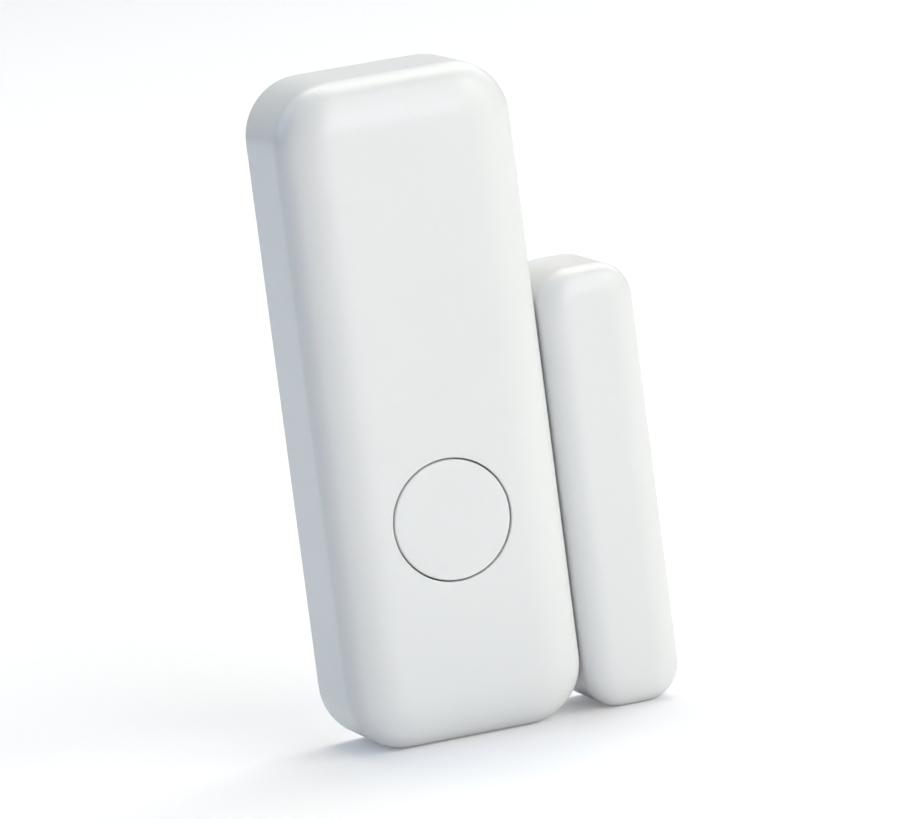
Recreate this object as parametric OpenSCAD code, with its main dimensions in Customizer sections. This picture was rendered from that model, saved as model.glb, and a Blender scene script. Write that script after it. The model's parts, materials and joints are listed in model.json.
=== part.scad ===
// Wireless door contact sensor: a sensor unit and a magnet unit, each clipped to a back plate.
// Frame: X to the magnet unit's side, Y into the wall, Z up along the door frame. The origin is the
// centre of the sensor's mounting tape, on the wall. All lengths are in millimetres.

/* [Housings] */
// Height of the sensor, along the door frame
sensor_h = 72; // [70:0.5:84]
// Width of the sensor
sensor_w = 26.4; // [26.4:0.2:32]
// Depth of the sensor from the wall to the front face
unit_d = 14.1; // [13.6:0.1:15]
// Radius of the sensor's corners, seen from the front
sensor_corner_r = 6.4; // [6:0.1:7]
// Radius of the sensor's front edge where it leaves the side wall
sensor_edge_r = 3.3; // [2.8:0.1:3.6]
// Radius of the sensor's front edge where it runs into the front face
sensor_crown_r = 7.9; // [7:0.1:8.2]
// Wall thickness of the sensor's shell
shell_t = 1.6; // [1.4:0.1:1.7]
// Height of the magnet unit
magnet_h = 48; // [47:0.5:56]
// Width of the magnet unit
magnet_w = 10.8; // [10.6:0.1:12]
// Radius of the magnet unit's corners, seen from the front
magnet_corner_r = 4; // [3.6:0.1:4.2]
// Radius of the magnet unit's front edge where it leaves the side wall
magnet_edge_r = 2; // [1.8:0.1:2.2]
// Radius of the magnet unit's front edge where it runs into the front face
magnet_crown_r = 4.4; // [4:0.1:4.6]
// How far the magnet unit's front face stands behind the sensor's
magnet_recess = 1.5; // [1:0.1:1.6]
// Wall thickness of the magnet unit's cover
cover_t = 1.4; // [1.2:0.1:1.4]
// Gap between the two units with the door closed
unit_gap = 0.3; // [0.3:0.1:6]
// Chamfer on the rear outer edge of both housings
rear_chamfer = 0.4; // [0.2:0.1:0.6]

/* [Button] */
// Height of the button's centre, measured from the middle of the sensor
button_z = -12; // [-14:0.5:-11]
// Radius of the round hole for the button
button_hole_r = 6.65; // [6.5:0.05:6.8]
// Gap between the button and its hole
button_gap = 0.18; // [0.1:0.01:0.2]
// How far the button presses in, which is how far the snap dome under it rises
button_travel = 0.3; // [0.2:0.05:0.3]

/* [Back plates] */
// Thickness of the foam mounting tape
tape_t = 0.8; // [0.5:0.1:1]
// Thickness of both back plates
plate_t = 1.4; // [1.2:0.1:1.4]
// Clearance between a back plate and its housing
plate_gap = 0.12; // [0.1:0.01:0.2]
// Distance between the sensor plate's screw holes
sensor_screw_pitch = 54; // [52:1:56]
// Distance between the magnet plate's screw holes
magnet_screw_pitch = 35; // [34.6:0.1:35.4]
// Diameter of the screw holes in both plates
screw_hole_d = 3.2; // [2.8:0.1:3.4]

/* [Electronics] */
// Height of the circuit board's rear face above the wall
board_rear = 6.9; // [6.9:0.1:7]
// Thickness of the circuit board
board_t = 1; // [0.8:0.1:1]
// Diameter of the coin cell
cell_d = 20; // [19.6:0.1:20]
// Thickness of the coin cell
cell_t = 3.2; // [3:0.1:3.2]
// Height of the coin cell's centre, measured from the middle of the sensor
cell_z = 9; // [8:0.5:10]
// Distance from the reed switch to the middle of the sensor
reed_x = 9.2; // [9:0.1:9.3]

/* [Hidden] */
$fn = 72;

// Far enough past a face to cut clean through it
past = 1;
// Half a turn of the front edge is shared out at this angle between the two radii
edge_turn = 60;
magnet_d = unit_d - magnet_recess;
plate_front = tape_t + plate_t;
board_front = board_rear + board_t;
shell_inner = unit_d - shell_t;
cover_inner = magnet_d - cover_t;
shell_inner_w = sensor_w - 2 * shell_t;
shell_inner_h = sensor_h - 2 * shell_t;
magnet_x = sensor_w / 2 + unit_gap + magnet_w / 2;
magnet_z = (magnet_h - sensor_h) / 2;
cover_inner_w = magnet_w - 2 * cover_t;
cover_inner_h = magnet_h - 2 * cover_t;

// Back plate clips
tab_w = 6;
tab_t = 1.1;
tab_h = 3;
tab_z = sensor_h / 2 - 11;
bump_h = 0.8;
bump_out = plate_gap - 0.02;
bump_rise = 1.6;
pocket_t = 0.4;
pry_notch_w = 8;
pry_notch_d = 1.2;
screw_head_d = 5.6;
countersink_d = 0.9;

// Board and its fixings
board_gap = 0.4;
board_w = shell_inner_w - 2 * board_gap;
board_h = shell_inner_h - 4 * board_gap;
board_corner_r = 4;
boss_z = sensor_h / 2 - 7;
boss_r = 2.1;
pilot_r = 0.85;
pilot_end = 0.5;
slack = 0.01;
board_screw_hole_r = 1.1;
board_screw_head_r = 1.8;
board_screw_head_t = 1.2;
pin_x = sensor_w / 2 - 4.8;
pin_z = -(sensor_h / 2 - 7.5);
pin_r = 0.9;
pin_hole_r = 1;
ledge_out = 1;
ledge_w = 2;
ledge_z = [-20, 22];
lead_hole_r = 0.4;

// Button and its guide
cap_r = button_hole_r - button_gap;
cap_edge = 0.15;
cap_t = 1.7;
flange_r = button_hole_r + 0.45;
flange_bottom = shell_inner - 0.65;
flange_top = shell_inner - 0.15;
cap_skirt_r = cap_r - 0.9;
stem_r = 1.8;
guide_r = flange_r + 0.15;
guide_t = 0.8;
guide_bottom = shell_inner - 1.2;
key_w = 1.4;
key_gap = 0.15;
key_out = 0.7;

// Tactile switch under the button
tact_w = 5.8;
tact_top = board_front + 2.25;
tact_frame_t = 0.2;
tact_frame_out = 0.15;
tact_frame_bottom = board_front + 0.6;
tact_well_r = 2.35;
tact_well_floor = board_front + 0.75;
plunger_r = 1.6;
plunger_hole_r = 1.7;
plunger_flange_r = 2.2;
plunger_flange_t = 0.4;
plunger_rim = tact_top - 0.1;
plunger_top = flange_bottom - 0.3;
dome_r = 2.2;
dome_h = button_travel;
dome_t = 0.08;
terminal_w = 0.7;
terminal_t = 0.2;
terminal_out = 0.9;

// Coin cell and its holder
cell_rear = 2.95;
cell_front = cell_rear + cell_t;
cell_cap_r = 8.6;
cell_seal_r = 8.9;
cell_step = 0.25;
cell_edge = 0.4;
holder_gap = 0.2;
holder_in_r = cell_d / 2 + holder_gap;
holder_r = shell_inner_w / 2 - board_gap;
holder_floor = cell_front + 0.3;
holder_wall_rear = cell_rear + 0.2;
holder_hole_r = 6;
finger_w = 12;
clip_slot_w = 6;
hook_w = 3;
hook_in = 0.8;
hook_rear = 2.35;
hook_front = cell_rear - 0.05;
hook_angles = [0, 180, 235, 305];
strip_t = 0.25;
clip_w = 5;
clip_z = cell_z + holder_r;
clip_over = 4.2;
clip_foot = 1.8;
dimple_r = 0.8;
leaf_w = 4;
leaf_l = 9;

// Tamper switch on the board's rear face
tamper_z = -20;
tamper_w = 6;
tamper_h = 3.6;
tamper_rear = board_rear - 2.4;
tamper_r = 0.8;
tamper_hole_r = 0.88;
tamper_stop_r = 1.3;
tamper_well_r = 1.4;
tamper_tip = plate_front + 0.03;
tamper_well_front = board_rear - 0.5;
tamper_well_rear = tamper_rear + 0.4;

// Reed switch on the board's front face
reed_z = -12;
reed_len = 14;
reed_r = 1.1;
reed_bore_r = 0.75;
reed_seal = 1;
reed_y = board_front + 0.25 + reed_r;
lead_r = 0.25;
lead_reach = 10.5;
lead_bend_r = 0.8;
lead_through = 0.5;
blade_t = 0.2;
blade_w = 1;
blade_overlap = 1.6;
blade_touch = 0.006;
blade_root_gap = 0.05;
glass_round = 0.4;

// Aerial: a bent wire round the top of the board
wire_r = 0.4;
wire_y = board_front + 1.7;
wire_bend_r = 1.2;
wire_loop_r = 7.5;
wire_foot_z = sensor_h / 2 - 21;
wire_loop_z = sensor_h / 2 - 11;

// Magnet unit's inside
magnet_bar = [6, 26, 5];
magnet_rear = 5;
cradle_stop_t = 1.2;
cradle_gap = 0.1;
cradle_lip = 2.5;
cradle_w = 5;
magnet_tab_w = 2.4;
magnet_tab_t = 1;
magnet_plate_r = magnet_corner_r - cover_t - plate_gap;
// The foam presses on the flat part of the cover's front wall
foam_w = magnet_w - magnet_edge_r - magnet_crown_r - 0.4;
tape_inset = 1.6;

// Turns a piece drawn lying on its back, front face up, so that it hangs on the wall
module upright() {
  rotate([90, 0, 0]) children();
}

// Moves a piece drawn about its own middle to the magnet unit's middle
module at_magnet() {
  translate([magnet_x, magnet_z, 0]) children();
}

// A rectangle with rounded corners, centred
module rounded_rect(w, h, r) {
  square([w - 2 * r, h], center = true);
  square([w, h - 2 * r], center = true);
  for (x = [-1, 1], y = [-1, 1]) translate([x * (w / 2 - r), y * (h / 2 - r)]) circle(r = r);
}

// A slice of a disc between two directions less than half a turn apart
module pie(center, r, from, to) {
  reach = 2 * r;
  translate(center) intersection() {
    circle(r = r);
    polygon([[0, 0], reach * [cos(from), sin(from)], reach * [cos(to), sin(to)]]);
  }
}

// Half section of a housing, from a corner's axis out to its side wall, rear edge at the bottom. The
// front edge turns on the small radius first and on the large one after that. The inset draws the
// inner surface, which runs past the axis and the rear edge by the amount given.
module half_section(depth, corner_r, edge_r, crown_r, inset = 0, over = 0) {
  knee = depth - edge_r * sin(edge_turn) - crown_r * (1 - sin(edge_turn));
  edge_c = [corner_r - edge_r, knee];
  crown_c = edge_c - (crown_r - edge_r) * [cos(edge_turn), sin(edge_turn)];
  translate([-over, -over]) square([corner_r - inset + over, knee + over]);
  translate([-over, -over]) square([crown_c[0] + over, depth - inset + over]);
  pie(edge_c, edge_r - inset, 0, edge_turn);
  pie(crown_c, crown_r - inset, edge_turn, 90);
}

// Section of a housing's wall: side, front edge and the start of the front, with the rear chamfer
module wall_section(depth, corner_r, edge_r, crown_r, t) {
  difference() {
    half_section(depth, corner_r, edge_r, crown_r);
    half_section(depth, corner_r, edge_r, crown_r, inset = t, over = past);
    translate([corner_r, 0]) polygon([
      [-rear_chamfer - past, -past], [past, rear_chamfer + past], [past, -past]]);
  }
}

// Carries a section round a rectangle with rounded corners
module around(w, h, r) {
  sx = w / 2 - r;
  sy = h / 2 - r;
  for (half = [0, 180]) rotate(half) {
    translate([sx, sy, 0]) rotate_extrude(angle = 90) children();
    translate([-sx, sy, 0]) rotate(90) rotate_extrude(angle = 90) children();
    translate([sx, sy, 0]) rotate([90, 0, 0]) linear_extrude(2 * sy) children();
    translate([-sx, sy, 0]) rotate(90) rotate([90, 0, 0]) linear_extrude(2 * sx) children();
  }
}

// A hollow housing, open at the rear, with its front face the given distance from the wall
module housing(w, h, front, corner_r, edge_r, crown_r, t) {
  depth = front - tape_t;
  translate([0, 0, tape_t]) {
    around(w, h, corner_r) wall_section(depth, corner_r, edge_r, crown_r, t);
    translate([-(w / 2 - corner_r), -(h / 2 - corner_r), depth - t])
      cube([w - 2 * corner_r, h - 2 * corner_r, t]);
  }
}

// A notch in the rear edge at the lower end, to pry the housing off its plate
module pry_notch(h) {
  translate([-pry_notch_w / 2, -h / 2 - past, tape_t - past])
    cube([pry_notch_w, past + 2 * shell_t, pry_notch_d + past]);
}

// A block given by its middle in the plane of the wall, its size there, and its two heights
module block(at, size, rear, front) {
  translate([at[0] - size[0] / 2, at[1] - size[1] / 2, rear]) cube([size[0], size[1], front - rear]);
}

// A round rod given by its middle in the plane of the wall, its radius and its two heights
module rod(at, r, rear, front) {
  translate([at[0], at[1], rear]) cylinder(r = r, h = front - rear);
}

// A screw hole with a countersink in a plate's inner face
module screw_hole(at) {
  rod(at, screw_hole_d / 2, tape_t - past, plate_front + past);
  translate([at[0], at[1], plate_front - countersink_d])
    cylinder(d1 = screw_hole_d, d2 = screw_head_d, h = countersink_d);
  rod(at, screw_head_d / 2, plate_front, plate_front + past);
}

// A strip of foam tape with rounded corners
module tape(w, h) {
  linear_extrude(tape_t) rounded_rect(w, h, 1.5);
}

// ---- Sensor: what stays on the wall ----

module back_plate() {
  w = shell_inner_w - 2 * plate_gap;
  h = shell_inner_h - 2 * plate_gap;
  rib_x = 8.5;
  rib_low = -sensor_h / 2 + 5;
  rib_len = 27;
  color("whitesmoke") upright() difference() {
    union() {
      translate([0, 0, tape_t]) linear_extrude(plate_t)
        rounded_rect(w, h, sensor_corner_r - shell_t - plate_gap);
      for (x = [-1, 1], z = [-1, 1]) {
        // Clip and its snap bump
        block([x * (w / 2 - tab_t / 2), z * tab_z], [tab_t, tab_w], plate_front - 0.1, plate_front + tab_h);
        block([x * (w / 2 + bump_out / 2 - 0.1), z * tab_z], [bump_out + 0.2, tab_w - 1],
          plate_front + bump_rise, plate_front + bump_rise + bump_h);
      }
      for (x = [-1, 1]) block([x * rib_x, rib_low + rib_len / 2], [0.8, rib_len],
        plate_front - 0.1, plate_front + 1);
      for (z = [-1, 1]) rod([0, z * sensor_screw_pitch / 2], screw_head_d / 2 + 0.7,
        plate_front - 0.1, plate_front + 0.4);
    }
    for (z = [-1, 1]) screw_hole([0, z * sensor_screw_pitch / 2]);
  }
}

module mounting_tape() {
  color("lightgray") upright() tape(shell_inner_w - 2 * tape_inset, sensor_screw_pitch - screw_head_d - 2);
}

// ---- Sensor: the unit that clips on ----

module front_shell() {
  color("white") upright() difference() {
    union() {
      housing(sensor_w, sensor_h, unit_d, sensor_corner_r, sensor_edge_r, sensor_crown_r, shell_t);
      // Screw bosses, locating pins, ledges for the board and the button's guide ring
      for (z = [-1, 1]) rod([0, z * boss_z], boss_r, board_front, shell_inner + 0.5);
      for (x = [-1, 1]) {
        rod([x * pin_x, pin_z], pin_r, board_rear - 0.3, shell_inner + 0.5);
        rod([x * pin_x, pin_z], pin_r + 0.6, board_front, shell_inner + 0.5);
        for (z = ledge_z) block([x * (shell_inner_w / 2 - (ledge_out - 0.2) / 2), z],
          [ledge_out + 0.2, ledge_w], board_front, board_front + 1.4);
      }
      difference() {
        rod([0, button_z], guide_r + guide_t, guide_bottom, shell_inner + 0.5);
        rod([0, button_z], guide_r, guide_bottom - past, shell_inner + past);
      }
    }
    rod([0, button_z], button_hole_r, shell_inner - past, unit_d + past);
    block([guide_r + guide_t / 2, button_z], [2 * guide_t + 0.4, key_w + 2 * key_gap],
      guide_bottom - past, shell_inner);
    for (z = [-1, 1]) rod([0, z * boss_z], pilot_r, board_front - past, shell_inner - pilot_end);
    // Pockets for the clips' snap bumps
    for (x = [-1, 1], z = [-1, 1]) block([x * (shell_inner_w / 2 + pocket_t / 2 - 0.5), z * tab_z],
      [pocket_t + 1, tab_w], plate_front + bump_rise - 0.2, plate_front + bump_rise + bump_h + 0.2);
    pry_notch(sensor_h);
  }
}

module circuit_board() {
  color("darkgreen") upright() difference() {
    translate([0, 0, board_rear]) linear_extrude(board_t) rounded_rect(board_w, board_h, board_corner_r);
    for (z = [-1, 1]) rod([0, z * boss_z], board_screw_hole_r, board_rear - past, board_front + past);
    for (x = [-1, 1]) rod([x * pin_x, pin_z], pin_hole_r, board_rear - past, board_front + past);
    for (z = [-1, 1]) rod([reed_x, reed_z + z * lead_reach], lead_hole_r,
      board_rear - past, board_front + past);
    for (x = [-1, 1]) rod([x * wire_loop_r, wire_foot_z], wire_r + 0.1,
      board_rear - past, board_front + past);
  }
}

module board_screws() {
  slot_w = 0.5;
  slot_l = 2.2;
  slot_d = 0.7;
  color("silver") upright() for (z = [-1, 1]) difference() {
    union() {
      rod([0, z * boss_z], board_screw_head_r, board_rear - board_screw_head_t, board_rear);
      rod([0, z * boss_z], pilot_r - slack, board_rear, shell_inner - pilot_end - 0.3);
    }
    for (size = [[slot_w, slot_l], [slot_l, slot_w]]) block([0, z * boss_z], size,
      board_rear - board_screw_head_t - past, board_rear - board_screw_head_t + slot_d);
  }
}

module battery_holder() {
  color("black") upright() translate([0, cell_z, 0]) difference() {
    union() {
      rod([0, 0], holder_r, holder_wall_rear, board_rear);
      for (a = hook_angles) rotate(a) block([holder_r - (hook_in + 1) / 2 - 0.15, 0], [hook_in + 1, hook_w],
        hook_rear, holder_wall_rear + 0.2);
    }
    // The pocket for the cell, and above it the room under the hooks
    rod([0, 0], holder_in_r, hook_front, holder_floor);
    rod([0, 0], holder_hole_r, holder_floor - past, board_rear + past);
    // Finger gap at the lower side and a slot for the clip at the upper side
    block([0, -holder_r], [finger_w, holder_r], hook_rear - past, holder_floor);
    block([0, holder_r], [clip_slot_w, 6], hook_rear - past, board_rear + past);
  }
}

module coin_cell() {
  color("silver") upright() translate([0, cell_z, 0]) rotate_extrude() polygon([
    [0, cell_rear], [cell_d / 2 - cell_edge, cell_rear], [cell_d / 2, cell_rear + cell_edge],
    [cell_d / 2, cell_front - cell_step - cell_edge],
    [cell_d / 2 - cell_edge, cell_front - cell_step],
    [cell_seal_r, cell_front - cell_step], [cell_cap_r, cell_front - 0.05],
    [cell_cap_r - 0.1, cell_front], [0, cell_front]]);
}

module battery_positive_contact() {
  top = cell_rear - 0.15;
  color("gainsboro") upright() {
    block([0, clip_z - clip_over / 2], [clip_w, clip_over], top - strip_t, top);
    block([0, clip_z + strip_t / 2], [clip_w, strip_t], top - strip_t, board_rear);
    block([0, clip_z + strip_t + clip_foot / 2], [clip_w, clip_foot], board_rear - strip_t, board_rear);
    rod([0, clip_z - clip_over + 1], dimple_r, top, cell_rear);
  }
}

module battery_negative_contact() {
  rear = cell_front + 0.1;
  foot_z = leaf_l / 2 - 0.5;
  color("gainsboro") upright() translate([0, cell_z, 0]) {
    block([0, 0], [leaf_w, leaf_l], rear, rear + strip_t);
    for (z = [-1, 1]) {
      rod([0, z * 2], dimple_r, cell_front, rear);
      block([0, z * foot_z], [leaf_w, 1], rear + strip_t, board_rear);
    }
  }
}

// ---- Button and the switch under it ----

module button_cap() {
  color("white") upright() translate([0, button_z, 0]) {
    rotate_extrude() polygon([
      [0, unit_d], [cap_r - cap_edge, unit_d], [cap_r, unit_d - cap_edge], [cap_r, flange_top],
      [flange_r, flange_top], [flange_r, flange_bottom], [cap_skirt_r, flange_bottom],
      [cap_skirt_r, unit_d - cap_t], [stem_r, unit_d - cap_t], [stem_r, plunger_top + slack],
      [0, plunger_top + slack]]);
    // Key that stops the cap turning in its guide ring
    block([flange_r + key_out / 2 - 0.2, 0], [key_out + 0.2, key_w], flange_bottom, flange_top);
  }
}

module tact_switch_base() {
  color("dimgray") upright() difference() {
    block([0, button_z], [tact_w, tact_w], board_front, tact_top);
    rod([0, button_z], tact_well_r, tact_well_floor, tact_top + past);
  }
}

module tact_switch_frame() {
  w = tact_w + 2 * tact_frame_out + 0.04;
  color("silver") upright() difference() {
    block([0, button_z], [w, w], tact_frame_bottom, tact_top + tact_frame_t);
    block([0, button_z], [tact_w + 0.04, tact_w + 0.04], tact_frame_bottom - past, tact_top);
    rod([0, button_z], plunger_hole_r, tact_top - past, tact_top + past);
    // The frame's sides leave the corners free for the terminals
    for (x = [-1, 1], z = [-1, 1]) block([x * w / 2, button_z + z * w / 2], [3.2, 3.2],
      tact_frame_bottom - past, tact_top - 0.4);
  }
}

module tact_switch_terminals() {
  color("silver") upright() for (x = [-1, 1], z = [-1, 1]) {
    block([x * (tact_w / 2 + terminal_out / 2), button_z + z * 1.95], [terminal_out, terminal_w],
      board_front, board_front + terminal_t);
    block([x * (tact_w / 2 + terminal_t / 2), button_z + z * 1.95], [terminal_t, terminal_w],
      board_front + terminal_t, board_front + 1.1);
  }
}

module tact_switch_plunger() {
  color("black") upright() {
    rod([0, button_z], plunger_r, plunger_rim, plunger_top);
    rod([0, button_z], plunger_flange_r, plunger_rim - plunger_flange_t, plunger_rim);
  }
}

module snap_dome() {
  top = plunger_rim - plunger_flange_t;
  // The dome rises in two flat steps from its rim to its crown
  outline = [[dome_r, -dome_h], [dome_r * 0.75, -dome_h * 0.4], [dome_r * 0.3, 0], [0, 0]];
  color("silver") upright() translate([0, button_z, top]) rotate_extrude() polygon(concat(
    outline, [for (i = [len(outline) - 1:-1:0]) outline[i] - [0, dome_t]]));
}

// ---- Tamper switch ----

module tamper_switch_body() {
  color("dimgray") upright() difference() {
    block([0, tamper_z], [tamper_w, tamper_h], tamper_rear, board_rear);
    rod([0, tamper_z], tamper_hole_r, tamper_rear - past, tamper_well_rear + past);
    rod([0, tamper_z], tamper_well_r, tamper_well_rear, tamper_well_front);
  }
}

module tamper_switch_terminals() {
  color("silver") upright() for (x = [-1, 1], z = [-1, 1])
    block([x * (tamper_w / 2 + terminal_out / 2), tamper_z + z], [terminal_out, terminal_w],
      board_rear - terminal_t, board_rear);
}

module tamper_plunger() {
  stop_t = 0.3;
  color("white") upright() {
    rod([0, tamper_z], tamper_r, tamper_tip, tamper_well_front - 0.2 - stop_t);
    rod([0, tamper_z], tamper_stop_r, tamper_well_front - 0.2 - stop_t, tamper_well_front - 0.2);
  }
}

// ---- Reed switch ----

// Places a piece drawn along Z on the reed switch's axis
module at_reed() {
  translate([reed_x, reed_z, reed_y]) rotate([-90, 0, 0]) children();
}

module reed_glass() {
  half = reed_len / 2;
  color("lightblue", 0.4) upright() at_reed() rotate_extrude() difference() {
    polygon([
      [0, -half], [reed_r - glass_round, -half], [reed_r, -half + glass_round],
      [reed_r, half - glass_round], [reed_r - glass_round, half], [0, half]]);
    translate([-past, -half + reed_seal]) square([past + reed_bore_r, reed_len - 2 * reed_seal]);
    translate([-past, -half - past]) square([past + lead_r + slack, reed_len + 2 * past]);
  }
}

// A lead from inside the seal to the bend and down through the board, drawn for the upper end
module reed_lead() {
  start = reed_z + reed_len / 2 - reed_seal;
  turn = reed_z + lead_reach - lead_bend_r;
  translate([reed_x, start, reed_y]) rotate([-90, 0, 0]) cylinder(r = lead_r, h = turn - start);
  translate([reed_x, turn, reed_y - lead_bend_r]) rotate([90, 0, 90]) rotate_extrude(angle = 90)
    translate([lead_bend_r, 0]) circle(r = lead_r);
  rod([reed_x, turn + lead_bend_r], lead_r, board_rear - lead_through, reed_y - lead_bend_r);
}

module reed_upper_lead() {
  color("silver") upright() reed_lead();
}

module reed_fixed_lead() {
  root = reed_z - reed_len / 2 + reed_seal;
  tip = reed_z + blade_overlap / 2;
  color("silver") upright() {
    translate([0, reed_z, 0]) mirror([0, 1, 0]) translate([0, -reed_z, 0]) reed_lead();
    block([reed_x, (root + tip) / 2], [blade_w, tip - root], reed_y - blade_t, reed_y);
  }
}

module reed_blade() {
  root = reed_z + reed_len / 2 - reed_seal - blade_root_gap;
  tip = reed_z - blade_overlap / 2;
  color("silver") upright() block([reed_x, (root + tip) / 2], [blade_w, root - tip],
    reed_y + blade_touch, reed_y + blade_touch + blade_t);
}

// ---- Radio and small parts ----

module antenna_wire() {
  bend_y = wire_foot_z + wire_bend_r;
  color("goldenrod") upright() {
    for (x = [-1, 1]) {
      rod([x * wire_loop_r, wire_foot_z], wire_r, board_rear, wire_y - wire_bend_r);
      translate([x * wire_loop_r, bend_y, wire_y - wire_bend_r]) rotate([90, 0, -90])
        rotate_extrude(angle = 90) translate([wire_bend_r, 0]) circle(r = wire_r);
      translate([x * wire_loop_r, bend_y, wire_y]) rotate([-90, 0, 0])
        cylinder(r = wire_r, h = wire_loop_z - bend_y);
    }
    translate([0, wire_loop_z, wire_y]) rotate_extrude(angle = 180)
      translate([wire_loop_r, 0]) circle(r = wire_r);
  }
}

module radio_chip() {
  at = [0, 14];
  color("darkslategray") upright() difference() {
    block(at, [5, 5], board_front, board_front + 0.85);
    rod(at + [-1.8, 1.8], 0.3, board_front + 0.8, board_front + past);
  }
}

module crystal() {
  at = [5, 9.5];
  color("silver") upright() {
    block(at, [3.2, 2.5], board_front, board_front + 0.2);
    block(at, [2.9, 2.2], board_front + 0.2, board_front + 0.7);
  }
}

module voltage_regulator() {
  at = [-6.5, 5];
  color("darkslategray") upright() {
    block(at, [1.6, 2.9], board_front + 0.1, board_front + 1.1);
    for (leg = [[-1.05, -0.95], [-1.05, 0.95], [1.05, 0]])
      block(at + leg, [0.5, 0.4], board_front, board_front + 0.5);
  }
}

module chip_parts() {
  size = [0.8, 1.6];
  body_t = 0.5;
  rows = [[-5, 9, 4], [-5, 18.5, 5], [2.5, 4, 3]];
  pitch = 2;
  color("tan") upright() for (row = rows, i = [0:row[2] - 1])
    block([row[0] + i * pitch, row[1]], size, board_front, board_front + body_t);
}

module status_led() {
  at = [0, 0];
  color("lightyellow") upright() {
    block(at, [1.6, 0.8], board_front, board_front + 0.25);
    block(at, [1, 0.8], board_front + 0.25, board_front + 0.6);
  }
}

// ---- Magnet unit ----

module magnet_back_plate() {
  w = cover_inner_w - 2 * plate_gap;
  h = cover_inner_h - 2 * plate_gap;
  stop_y = magnet_bar[1] / 2 + cradle_gap + cradle_stop_t / 2;
  color("whitesmoke") upright() at_magnet() difference() {
    union() {
      translate([0, 0, tape_t]) linear_extrude(plate_t) rounded_rect(w, h, magnet_plate_r);
      // Cradle: a floor rib under the magnet, with a stop at each end
      block([0, 0], [cradle_w, magnet_bar[1] + 2 * cradle_gap], plate_front - 0.1, magnet_rear - 0.02);
      for (z = [-1, 1]) {
        block([0, z * stop_y], [cradle_w, cradle_stop_t], plate_front - 0.1, magnet_rear + cradle_lip);
        block([0, z * (h / 2 - magnet_tab_t / 2)], [magnet_tab_w, magnet_tab_t],
          plate_front - 0.1, plate_front + tab_h);
        block([0, z * (h / 2 + bump_out / 2 - 0.1)], [magnet_tab_w - 1, bump_out + 0.2],
          plate_front + bump_rise, plate_front + bump_rise + bump_h);
      }
    }
    for (z = [-1, 1]) screw_hole([0, z * magnet_screw_pitch / 2]);
  }
}

module magnet_tape() {
  color("lightgray") upright() at_magnet()
    tape(cover_inner_w - tape_inset, magnet_screw_pitch - screw_head_d - 2);
}

module bar_magnet() {
  color("dimgray") upright() at_magnet()
    block([0, 0], [magnet_bar[0], magnet_bar[1]], magnet_rear, magnet_rear + magnet_bar[2]);
}

module foam_spacer() {
  color("gray") upright() at_magnet()
    block([0, 0], [foam_w, magnet_bar[1] - 2], magnet_rear + magnet_bar[2] + 0.02, cover_inner);
}

module magnet_cover() {
  color("white") upright() at_magnet() difference() {
    housing(magnet_w, magnet_h, magnet_d, magnet_corner_r, magnet_edge_r, magnet_crown_r, cover_t);
    for (z = [-1, 1]) block([0, z * (cover_inner_h / 2 + pocket_t / 2 - 0.5)], [magnet_tab_w, pocket_t + 1],
      plate_front + bump_rise - 0.2, plate_front + bump_rise + bump_h + 0.2);
    translate([-magnet_tab_w / 2, -magnet_h / 2 - past, tape_t - past])
      cube([magnet_tab_w, past + 2 * cover_t, pry_notch_d + past]);
  }
}

back_plate();
mounting_tape();
front_shell();
circuit_board();
board_screws();
battery_holder();
coin_cell();
battery_positive_contact();
battery_negative_contact();
button_cap();
tact_switch_base();
tact_switch_frame();
tact_switch_terminals();
tact_switch_plunger();
snap_dome();
tamper_switch_body();
tamper_switch_terminals();
tamper_plunger();
reed_glass();
reed_fixed_lead();
reed_upper_lead();
reed_blade();
antenna_wire();
radio_chip();
crystal();
voltage_regulator();
chip_parts();
status_led();
magnet_back_plate();
magnet_tape();
bar_magnet();
foam_spacer();
magnet_cover();
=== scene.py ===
import json
import math

import bmesh
import bpy
from mathutils import Matrix, Vector, noise as turbulence


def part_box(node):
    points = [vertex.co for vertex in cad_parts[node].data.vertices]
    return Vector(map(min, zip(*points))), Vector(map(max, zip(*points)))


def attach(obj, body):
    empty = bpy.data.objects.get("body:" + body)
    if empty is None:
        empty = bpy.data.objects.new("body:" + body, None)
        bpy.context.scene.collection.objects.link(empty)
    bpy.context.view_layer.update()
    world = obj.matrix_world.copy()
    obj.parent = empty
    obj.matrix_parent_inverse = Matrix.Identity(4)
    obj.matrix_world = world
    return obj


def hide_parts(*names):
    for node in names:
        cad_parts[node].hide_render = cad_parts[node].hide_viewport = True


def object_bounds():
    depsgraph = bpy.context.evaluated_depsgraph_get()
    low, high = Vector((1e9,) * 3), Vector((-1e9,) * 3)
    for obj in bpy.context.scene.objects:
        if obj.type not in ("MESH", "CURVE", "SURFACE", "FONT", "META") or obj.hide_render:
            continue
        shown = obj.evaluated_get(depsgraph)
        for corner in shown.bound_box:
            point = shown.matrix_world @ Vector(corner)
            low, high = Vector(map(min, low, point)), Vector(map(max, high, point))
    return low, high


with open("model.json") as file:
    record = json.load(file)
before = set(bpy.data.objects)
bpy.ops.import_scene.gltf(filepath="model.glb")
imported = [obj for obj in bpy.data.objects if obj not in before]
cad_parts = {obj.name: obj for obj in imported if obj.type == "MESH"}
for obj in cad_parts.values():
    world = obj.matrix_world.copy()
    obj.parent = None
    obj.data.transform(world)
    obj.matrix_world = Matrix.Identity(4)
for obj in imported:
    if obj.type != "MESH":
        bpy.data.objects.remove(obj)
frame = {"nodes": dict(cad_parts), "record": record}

# Wireless door contact sensor. Pieces are drawn in millimetres as (across, up, out from the wall) and
# turned into the frame's metres by piece(). The CAD nodes that stay get a material only.

MM = 0.001
CAD_LOW, CAD_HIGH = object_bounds()


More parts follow.
